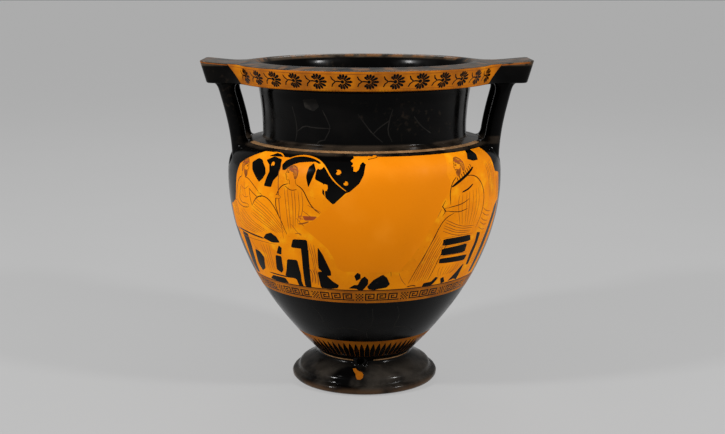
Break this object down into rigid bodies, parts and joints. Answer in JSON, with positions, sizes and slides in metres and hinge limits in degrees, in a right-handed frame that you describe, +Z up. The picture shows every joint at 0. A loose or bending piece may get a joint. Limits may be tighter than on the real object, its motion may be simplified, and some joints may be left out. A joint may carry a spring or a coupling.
{
  "type": "column krater",
  "caption": "Large footed clay mixing bowl with a wide neck, an overhanging rim and two column handles under flat plates.",
  "frame": {"origin": "middle of the ring that the foot stands on, at the ground", "axes": "+Z up along the axis of the vase, +X through one handle, -Y to the front with the drain hole"},
  "size_m": [0.423, 0.355, 0.423],
  "materials": {
    "gloss_black_clay": "black gloss slip over orange clay, with the clay left bare for the painted bands and scenes"
  },
  "bodies": {
    "root": {"krater": "gloss_black_clay"}
  },
  "joints": []
}
